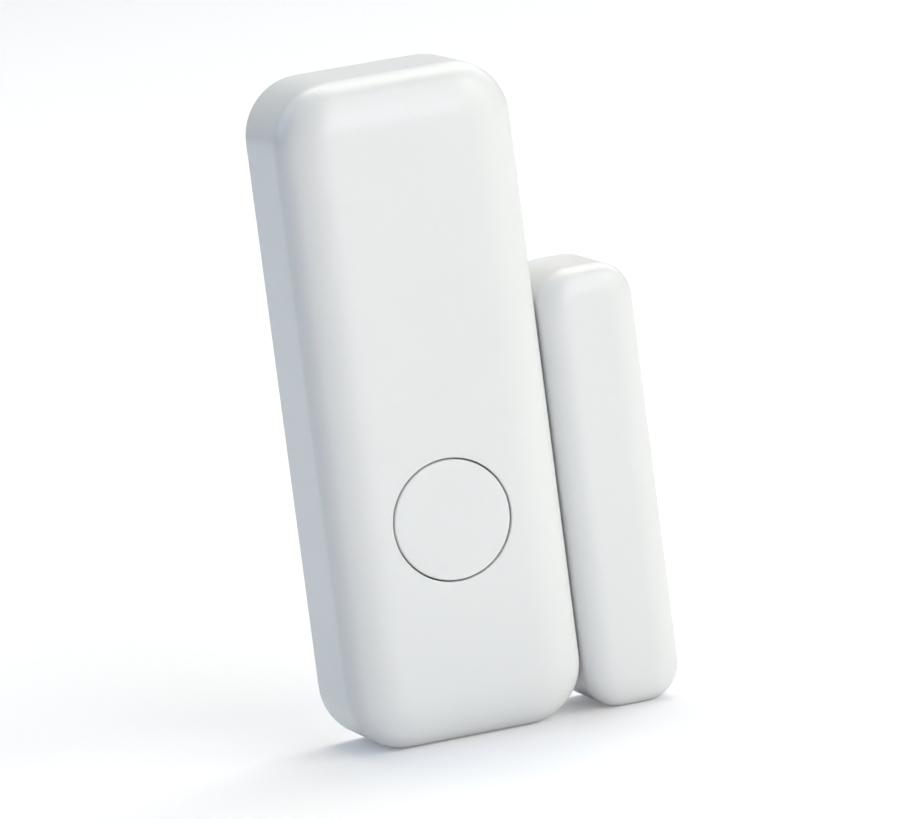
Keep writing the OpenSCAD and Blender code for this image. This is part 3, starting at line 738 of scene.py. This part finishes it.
def snap_clip(at, size, bump_at, bump_size, front):
    """A clip that stands on a plate, and the bump on its outer side."""
    return [block(at, size, front - SUNK, front + CLIP_H, 0.2),
            block(bump_at, bump_size, front + BUMP_REAR, front + BUMP_FRONT, BUMP_EDGE)]


def back_plate():
    """The sensor's plate, with two clips and a long rib on each side."""
    rear, front = PLATE.rear, PLATE.rear + PLATE_T
    w, h = SHELL.w - 2 * SENSOR_WALL - 2 * PLATE_GAP, PLATE.h
    corner = SENSOR_CORNER - SENSOR_WALL - PLATE_GAP
    rib, rib_x, rib_up = (0.8, 27), 8.5, -SHELL.h / 2 + 18.5
    parts = plate(w, h, corner, (0.0, 0.0), rear, SENSOR_SCREW_PITCH, 0.4)
    for x in (-1, 1):
        for z in (-1, 1):
            parts += snap_clip((x * (w / 2 - CLIP_T / 2), z * CLIP_Z), (CLIP_T, CLIP_W),
                               (x * (w / 2 - BUMP_IN), z * CLIP_Z), (BUMP_T, CLIP_W - 1), front)
        parts.append(block((x * rib_x, rib_up), rib, front - SUNK, front + 1, 0.15))
    return piece("back_plate_moulding", parts, "wall_plate", "plate_white", ["back_plate"])


def magnet_back_plate():
    """The magnet unit's plate, with the magnet's seat and stops, and a clip at each end."""
    x, z = MAGNET_PLATE.centre
    rear, front = MAGNET_PLATE.rear, MAGNET_PLATE.rear + PLATE_T
    inset = 2 * COVER_WALL
    w, h = COVER.w - inset - 2 * PLATE_GAP, COVER.h - inset - 2 * PLATE_GAP
    corner = COVER_CORNER - COVER_WALL - PLATE_GAP
    seat_w, stop_t, stop_h, stop_gap = 5, 1.2, 2.5, 0.1
    parts = plate(w, h, corner, (x, z), rear, MAGNET_SCREW_PITCH, 0.0)
    parts.append(block((x, z), (seat_w, BAR.h + 2 * stop_gap), front - SUNK, BAR.rear - 0.02))
    for side in (-1, 1):
        stop = (x, z + side * (BAR.h / 2 + 0.7))
        parts.append(block(stop, (seat_w, stop_t), front - SUNK, BAR.rear + stop_h, 0.2))
        clip_at = (x, z + side * (h / 2 - MAGNET_CLIP_T / 2))
        bump_at = (x, z + side * (h / 2 - BUMP_IN))
        parts += snap_clip(clip_at, (MAGNET_CLIP_W, MAGNET_CLIP_T),
                           bump_at, (MAGNET_CLIP_W - 1, BUMP_T), front)
    return piece("magnet_back_plate_moulding", parts, "magnet_plate", "plate_white",
                 ["magnet_back_plate"])


def tape(name, span, body, replaced):
    """Foam tape, cut a little unevenly at its sides, which are pulled in between the two faces."""
    w, h, t = span.w, span.h, span.front - span.rear
    corner, cuts, corner_steps = 1.5, 0.35, 8
    sides = [-(h / 2 - corner) + cuts * k for k in range(1, int((h - 2 * corner) / cuts))]
    ends = [-(w / 2 - corner) + cuts * k for k in range(1, int((w - 2 * corner) / cuts))]
    stations = from_corner(places(w, h, corner, sides, ends, corner_steps), corner_steps)
    levels = [(-0.25, 0.0), *[(0.0, share) for share in (0.04, 0.25, 0.5, 0.75, 0.96)], (-0.25, 1.0)]
    inset, uneven, waist = 0.05, 0.06, 0.06
    rings = []
    for out, share in levels:
        ring = []
        for bx, by, nx, ny in stations:
            x, y = span.centre[0] + bx + nx * corner, span.centre[1] + by + ny * corner
            ragged = abs(turbulence.noise(Vector((1.6 * x, 1.6 * y, 5 * share))))
            pull = out - inset - uneven * ragged - (waist if 0.1 < share < 0.9 else 0.0)
            ring.append((x + nx * pull, y + ny * pull, span.rear + t * share))
        rings.append(ring)
    tall, wide = len(sides) + 1 + corner_steps, len(ends) + 1 + corner_steps
    parts = [joined(rings), filled(rings[0], wide, tall, span.rear),
             filled(rings[-1], wide, tall, span.front)]
    return piece(name, parts, body, "tape_foam", [replaced])


back_plate()
magnet_back_plate()
tape("mounting_tape_foam", TAPE, "wall_plate", "mounting_tape")
tape("magnet_tape_foam", MAGNET_TAPE, "magnet_plate", "magnet_tape")


# -------------------- inside the sensor and the magnet unit

def coin_cell():
    """A steel can with a crimped rim and a stamped plus, its dark sealing ring and negative cap."""
    radius, rear, front, at = CELL.w / 2, CELL.rear, CELL.front, CELL.centre
    inside = rear + 0.7
    foot = arc((radius - 0.45, rear + 0.45), 0.45, -math.pi / 2, 0, 6)
    crimp = arc((radius - 0.55, front - 0.85), 0.55, 0, 0.42 * math.pi, 6)
    crown = arc((8.2, front - 0.45), 0.45, math.pi / 2, 0, 5)
    can = [(0, rear), (radius - 3, rear), *foot, *crimp, (9.25, front - 0.27), (9.15, front - 0.36),
           (9.15, inside), (0, inside)]
    cap = [(0, front), (5, front), *crown, (8.65, inside), (0, inside)]
    seal = [(8.6, inside), (9.25, inside), (9.15, front - 0.22), (9.0, front - 0.16),
            (8.75, front - 0.2), (8.6, front - 0.3)]
    plus = [block(at, size, rear - 0.03, rear + 0.1, 0.03) for size in ((2.6, 0.5), (0.5, 2.6))]
    parts = [lathe(can, at, 128), lathe(cap, at, 128), (*lathe(seal, at, 128), 1), *plus]
    return piece("coin_cell_can", parts, "sensor_unit", "cell_steel", ["coin_cell"],
                 ["cell_steel", "gasket"])


def battery_holder():
    """A round tray and a wall round the cell, with a finger gap below and a clip slot above."""
    at = CELL.centre
    pocket, hole = CELL.w / 2 + 0.2, 6.0
    rear, floor, front = CELL.rear + 0.2, CELL.front + 0.3, BOARD.rear
    slot, finger = math.asin(3 / HOLDER_R), math.asin(6 / HOLDER_R)
    up, down = math.pi / 2, 1.5 * math.pi
    start, end = up + slot, up + 2 * math.pi - slot
    tray = bar_section(hole, HOLDER_R, floor, front, 0.08)
    wall = bar_section(pocket, HOLDER_R, rear, floor + 0.2, 0.15)
    parts = [swept(tray, at, start, end, 110), swept(wall, at, start, down - finger, 44),
             swept(wall, at, down + finger, end, 44)]
    for degrees in (0, 180, 235, 305):   # hooks that hold the cell down
        points, faces = block((HOLDER_R - 1.05, 0), (1.8, 3.0), rear - 0.8, rear + 0.2, 0.15)
        c, s = math.cos(math.radians(degrees)), math.sin(math.radians(degrees))
        turned = [(at[0] + x * c - y * s, at[1] + x * s + y * c, z) for x, y, z in points]
        parts.append((turned, faces))
    return piece("battery_holder_moulding", parts, "sensor_unit", "black_plastic", ["battery_holder"])


def strip(path, width, thickness):
    """A flat metal strip whose middle follows a path of (up, depth), with its width along X."""
    rings = []
    for i, (up, out) in enumerate(path):
        before, after = path[max(i - 1, 0)], path[min(i + 1, len(path) - 1)]
        along = Vector((after[0] - before[0], after[1] - before[1])).normalized()
        side = Vector((-along.y, along.x)) * thickness / 2
        rings.append([(x * width / 2, up + turn * side.x, out + turn * side.y)
                      for x, turn in ((-1, -1), (1, -1), (1, 1), (-1, 1))])
    points, faces = joined(rings)
    last = len(points) - 4
    return points, faces + [(0, 1, 2, 3), (last, last + 1, last + 2, last + 3)]


def battery_positive_contact():
    """The clip over the cell: a strip bent round the holder's edge down to its foot on the board."""
    clip = Span("battery_positive_contact")
    t, bend, over = 0.25, 0.45, 4.2
    edge = CELL.centre[1] + HOLDER_R
    top, wall, foot = CELL.rear - 0.15 - t / 2, edge + t / 2, BOARD.rear - t / 2
    path = [(edge - over, top), *arc((wall - bend, top + bend), bend, -math.pi / 2, 0, 6),
            *arc((wall + bend, foot - bend), bend, math.pi, math.pi / 2, 6), (clip.top - 0.02, foot)]
    dimple = [(0, CELL.rear), (0.35, CELL.rear - 0.02), (0.7, top + 0.08), (0.8, top), (0, top)]
    parts = [strip(path, 5, t), lathe(dimple, (0.0, edge - over + 1), 24)]
    return piece("battery_positive_clip", parts, "sensor_unit", "nickel",
                 ["battery_positive_contact"])


PAD_T, PRINT_T = 0.035, 0.02            # how far copper pads and white print stand out of the board
TRACK_LIFT, TRACK_OVERLAP = 0.02, 0.4   # overlap at a bend, as a share of half the track's width
REED = Span("reed_glass").centre
REED_LEADS = [(REED[0], REED[1] + side * 10.5) for side in (-1, 1)]
AERIAL_FEET = [(side * 7.5, Span("antenna_wire").bottom + 0.4) for side in (-1, 1)]
TAMPER = Span("tamper_switch_body")
CLIP_PAD = (0.0, Span("battery_positive_contact").top - 0.6)
PLATED, TINNED, PRINTED, TRACK = 1, 2, 3, 4   # places in the board's list of finishes

# Copper tracks on each face of the board: a width, then the corners that the track runs through
REAR_TRACKS = [
    (0.4, [(-7.5, -6.0), (-5.5, -4.0), (-5.5, -1.8)]),
    (0.25, [(-7.5, -7.9), (-4.7, -5.1), (-4.7, -2.4)]),
    (0.25, [(-7.5, -9.8), (-3.9, -6.2), (-3.9, -2.8)]),
    (0.25, [(-7.5, -11.7), (-3.1, -7.3), (-3.1, -3.0)]),
    (0.25, [(-7.5, -13.6), (-5.6, -15.5), (-5.6, -18.0), (-4.2, -19.4)]),
    (0.25, [(-7.5, -15.5), (-7.5, -22.0), (-4.4, -22.0), (-3.8, -21.4)]),
    (0.6, [(9.2, -1.5), (9.2, -0.2), (7.4, 1.6)]),
    (0.4, [(9.2, -22.5), (7.0, -24.7), (3.6, -24.7)]),
    (0.6, [(3.2, 21.8), (6.5, 25.1), (6.5, 31.0)]),
    (0.6, [(-3.2, 21.8), (-6.5, 25.1), (-6.5, 31.0)]),
    (0.3, [(3.6, -19.0), (5.4, -17.2), (5.4, -6.0), (3.8, -4.4), (3.8, -3.0)]),
    (0.3, [(3.6, -21.0), (6.3, -18.3), (6.3, -5.4), (4.8, -3.9), (4.8, -2.4)]),
]
FRONT_TRACKS = [
    (0.25, [(-2.5, 13.0), (-5.0, 10.5)]),
    (0.25, [(-2.5, 14.0), (-4.8, 16.3), (-4.8, 17.9)]),
    (0.25, [(2.5, 13.0), (4.4, 11.1)]),
    (0.4, [(2.5, 15.0), (6.4, 15.0)]),
    (0.5, [(-6.5, 6.6), (-6.5, 8.2)]),
    (0.3, [(-1.0, 11.5), (-1.0, 0.6)]),
    (0.3, [(1.0, 11.5), (1.0, 0.6)]),
    (0.3, [(-3.6, -10.0), (-5.8, -7.8), (-5.8, 3.4)]),
    (0.3, [(3.6, -10.0), (5.8, -7.8), (5.8, 3.2)]),
]


def board_pads():
    """Plated rings on both faces, test pads, solder joints, and the switch's and the clip's pads."""
    rear = BOARD.rear
    parts = []
    rings = [(at, 1.2, 2.2) for at in BOSSES] + [(at, 0.42, 0.95) for at in REED_LEADS]
    rings += [(at, 0.52, 1.1) for at in AERIAL_FEET]
    for at, inner, outer in rings:
        for face, out in ((rear, -PAD_T), (BOARD.front, PAD_T)):
            low, high = face + out, face - out
            profile = [(inner, low), (outer, low), (outer, high), (inner, high)]
            parts.append((*lathe(profile, at, 32), PLATED))
    test_r, test_pitch = 0.55, 1.9
    dot = [(0, rear - PAD_T), (test_r, rear - PAD_T), (test_r, rear + PAD_T), (0, rear + PAD_T)]
    parts += [(*lathe(dot, (-7.5, -6.0 - test_pitch * k), 24), PLATED) for k in range(6)]
    solder = [(0, rear - 0.55), (0.27, rear - 0.55), (0.3, rear - 0.3), (0.45, rear - 0.1),
              (0.85, rear - PAD_T), (0.85, rear), (0, rear)]
    parts += [(*lathe(solder, at, 24), TINNED) for at in REED_LEADS]
    squares = [((x * (TAMPER.w / 2 + 0.55), TAMPER.centre[1] + z), (1.5, 1.0))
               for x in (-1, 1) for z in (-1, 1)] + [(CLIP_PAD, (6.4, 2.8))]
    return parts + [(*block(at, size, rear - PAD_T, rear + PAD_T, 0.01), PLATED)
                    for at, size in squares]


def board_print():
    """White print on the rear: a frame round the tamper switch, and a plus beside the clip's pad."""
    line, plus_at, up = 0.15, (5.4, CLIP_PAD[1]), TAMPER.centre[1]
    beyond, beside = TAMPER.h / 2 + 0.5, TAMPER.w / 2 + 1.5
    lines = [((0.0, up + side * beyond), (TAMPER.w + 3, line)) for side in (-1, 1)]
    lines += [((side * beside, up), (line, TAMPER.h + 1)) for side in (-1, 1)]
    lines += [(plus_at, (1.3, 0.2)), (plus_at, (0.2, 1.3))]
    rear = BOARD.rear
    return [(*block(at, size, rear - PRINT_T, rear + PRINT_T, 0.005), PRINTED) for at, size in lines]


def circuit_board():
    """The board with its plated holes, bare pads, solder joints, tracks and white print."""
    rear, front = BOARD.rear, BOARD.front
    holes = [(at, 1.1) for at in BOSSES] + [(at, 1.0) for at in PINS]
    holes += [(at, 0.4) for at in REED_LEADS] + [(at, 0.5) for at in AERIAL_FEET]
    outlines = [disc_outline(at, r, 24) for at, r in holes]
    parts = [slab([round_outline(BOARD.w, BOARD.h, 4.0), *outlines], rear, front, 0.04)]
    parts += board_pads() + board_print()
    copper = tracks(REAR_TRACKS, rear, -1) + tracks(FRONT_TRACKS, front, 1)
    parts += [(*part, TRACK) for part in copper]
    ring = bar_section(11.55, 11.7, rear - PRINT_T, rear + PRINT_T, 0.005)
    for start in (math.radians(262), math.radians(222), math.radians(302)):
        parts.append((*swept(ring, CELL.centre, start, start + math.radians(14), 12), PRINTED))
    return piece("circuit_board_assembly", parts, "sensor_unit", "board_green", ["circuit_board"],
                 ["board_green", "brass_wire", "tinned", "white_print", "track_green"])


def tracks(runs, face, side):
    """Copper tracks under the mask on one face, one box for each straight."""
    box = [(0, 1, 2, 3), (4, 5, 6, 7), (0, 1, 5, 4), (1, 2, 6, 5), (2, 3, 7, 6), (3, 0, 4, 7)]
    parts = []
    for width, corners in runs:
        for (x0, z0), (x1, z1) in zip(corners, corners[1:]):
            along = Vector((x1 - x0, z1 - z0)).normalized() * width / 2
            across = Vector((-along.y, along.x))
            start = Vector((x0, z0)) - TRACK_OVERLAP * along
            end = Vector((x1, z1)) + TRACK_OVERLAP * along
            loop = [start - across, end - across, end + across, start + across]
            levels = [face + side * out for out in (-TRACK_LIFT, TRACK_LIFT)]
            parts.append(([(*p, level) for level in levels for p in loop], box))
    return parts


def chip_parts():
    """Ceramic chip parts: a tan body with a plated cap at each end."""
    rows = [((-5.0, 9.0), 4), ((-5.0, 18.5), 5), ((2.5, 4.0), 3)]   # first one's place, and how many
    rear, top, pitch, inset = BOARD.front, BOARD.front + 0.5, 2.0, 0.02
    parts = []
    for (x, z), count in rows:
        for k in range(count):
            parts.append(block((x + k * pitch, z), (0.76, 1.1), rear + inset, top - inset, 0.05))
            for side in (-1, 1):
                cap = (x + k * pitch, z + side * 0.625)
                parts.append((*block(cap, (0.8, 0.35), rear, top, 0.06), 1))
    return piece("chip_parts_soldered", parts, "sensor_unit", "chip_ceramic", ["chip_parts"],
                 ["chip_ceramic", "tinned"])


def magnet_inside():
    """The plated bar magnet with its rounded edges, and the foam pad in front of it."""
    magnet = block(BAR.centre, (BAR.w, BAR.h), BAR.rear, BAR.front, 0.35)
    piece("bar_magnet_plated", [magnet], "magnet_plate", "magnet_nickel", ["bar_magnet"])
    span = Span("foam_spacer")
    pad = block(span.centre, (span.w, span.h), span.rear, span.front, 0.3)
    piece("foam_spacer_pad", [pad], "magnet_housing", "grey_foam", ["foam_spacer"])


coin_cell()
battery_holder()
battery_positive_contact()
circuit_board()
chip_parts()
magnet_inside()


# -------------------- CAD nodes that stay, by slot

for part in frame["record"]["subparts"]:
    kept = frame["nodes"][part["node"]].data
    kept.materials.clear()
    kept.materials.append(MATERIALS[part["material_slot"]])


# -------------------- camera, floor and light

CAMERA_AZIMUTH = math.radians(-18.12)
CAMERA_ELEVATION = math.radians(9.32)
CAMERA_ROLL = math.radians(7.43)
CAMERA_DISTANCE = 0.917
CAMERA_LENS = 344.0
AIM_OFFSET = Vector((-1.94, 0.0, -1.49)) * MM
MIDDLE = (CAD_LOW + CAD_HIGH) / 2

FLOOR_REACH = 12.0
FLOOR_LIFT = 0.165                      # added for the camera only
# The world's light on the object, and the backdrop that the camera sees: colour and strength
FILL = (0.93, 0.94, 1.0, 1.0), 0.03
BACKDROP = (1.0, 1.0, 1.0, 1.0), 1.05

# Each row: name, azimuth and elevation in degrees, distance, width, height, power, colour
SOFTBOXES = [
    ("key", 35, 38, 1.2, 0.9, 0.5, 4.05, (0.96, 0.88, 1.0)),
    ("key_low", 45, 12, 1.2, 1.0, 0.5, 2.3, (1.0, 0.91, 0.38)),
    ("key_right", 45, 30, 1.3, 0.5, 0.5, 1.4, (0.77, 1.0, 0.86)),
    ("front_low", 10, 10, 1.3, 0.5, 0.3, 3.5, (0.80, 0.84, 1.0)),
    ("streak", 10, 24, 1.0, 0.4, 0.1, 1.0, (1.0, 1.0, 1.0)),
    ("right_back", 130, 40, 1.2, 0.8, 0.8, 3.9, (0.63, 0.74, 1.0)),
    ("left_back", -120, 30, 1.2, 0.8, 0.8, 4.3, (0.59, 0.78, 1.0)),
    ("back", 180, 12, 1.5, 2.0, 0.6, 2.4, (1.0, 0.96, 0.94)),
    ("high_back", 180, 55, 1.2, 1.2, 0.8, 1.1, (1.0, 0.96, 0.94)),
    ("top_back", 180, 70, 1.3, 0.5, 0.5, 4.3, (1.0, 0.92, 0.72)),
    ("top_right_back", 120, 60, 1.3, 0.5, 0.5, 2.3, (1.0, 0.83, 0.42)),
    ("top_right", 90, 75, 1.3, 0.5, 0.5, 3.4, (0.83, 0.92, 1.0)),
]


def direction(azimuth, elevation):
    """Unit vector from the object towards a camera at that azimuth and elevation."""
    return Vector((math.sin(azimuth) * math.cos(elevation),
                   -math.cos(azimuth) * math.cos(elevation),
                   math.sin(elevation)))


def make_camera():
    """The camera, turned a little about its own line of sight."""
    data = bpy.data.cameras.new("camera")
    data.lens = CAMERA_LENS
    data.clip_start, data.clip_end = 0.05, 50.0
    camera = placed("camera", data)
    back = direction(CAMERA_AZIMUTH, CAMERA_ELEVATION)
    camera.location = MIDDLE + AIM_OFFSET + back * CAMERA_DISTANCE
    turn = (-back).to_track_quat("-Z", "Y").to_matrix().to_4x4()
    roll = Matrix.Rotation(-CAMERA_ROLL, 4, "Z")
    camera.matrix_world = Matrix.Translation(camera.location) @ turn @ roll
    bpy.context.scene.camera = camera


def make_floor():
    """A plain pale floor, which the camera sees a little brighter, as a lit paper sweep looks."""
    mesh = bpy.data.meshes.new("floor")
    signs = ((-1, -1), (1, -1), (1, 1), (-1, 1))
    corners = [(x * FLOOR_REACH, y * FLOOR_REACH, CAD_LOW.z) for x, y in signs]
    mesh.from_pydata(corners, [], [(0, 1, 2, 3)])
    floor = placed("floor", mesh)
    material, tree, shader = new_material("floor")
    seen = add(tree, "LightPath", {}).outputs["Is Camera Ray"]
    feed(tree, shader, {
        "Base Color": (0.88, 0.88, 0.89, 1.0),
        "Roughness": 0.6,
        "Specular IOR Level": 0.1,
        "Emission Color": (1.0, 1.0, 1.0, 1.0),
        "Emission Strength": spread(tree, seen, 0.0, FLOOR_LIFT, 0.0, 1.0)})
    mesh.materials.append(material)


def make_world():
    """A faint fill for the object, and a white backdrop for the camera."""
    world = bpy.data.worlds.new("world")
    world.use_nodes = True
    bpy.context.scene.world = world
    tree = world.node_tree
    tree.nodes.clear()
    fill, backdrop = [add(tree, "Background", {"Color": colour, "Strength": strength})
                      for colour, strength in (FILL, BACKDROP)]
    seen = add(tree, "LightPath", {}).outputs["Is Camera Ray"]
    mix = add(tree, "MixShader", {"Fac": seen, 1: fill.outputs[0], 2: backdrop.outputs[0]})
    add(tree, "OutputWorld", {"Surface": mix.outputs[0]})


def softbox(name, azimuth, elevation, distance, width, height, power, colour):
    """A rectangular soft light aimed at the middle of the object."""
    data = bpy.data.lights.new(name, "AREA")
    data.shape = "RECTANGLE"
    data.size, data.size_y = width, height
    data.energy = power
    data.color = colour
    light = placed(name, data)
    back = direction(math.radians(azimuth), math.radians(elevation))
    light.location = MIDDLE + back * distance
    light.rotation_mode = "QUATERNION"
    light.rotation_quaternion = (-back).to_track_quat("-Z", "Y")
    light.visible_camera = False


make_camera()
make_floor()
make_world()
for row in SOFTBOXES:
    softbox(*row)
bpy.context.scene.view_settings.view_transform = "Standard"
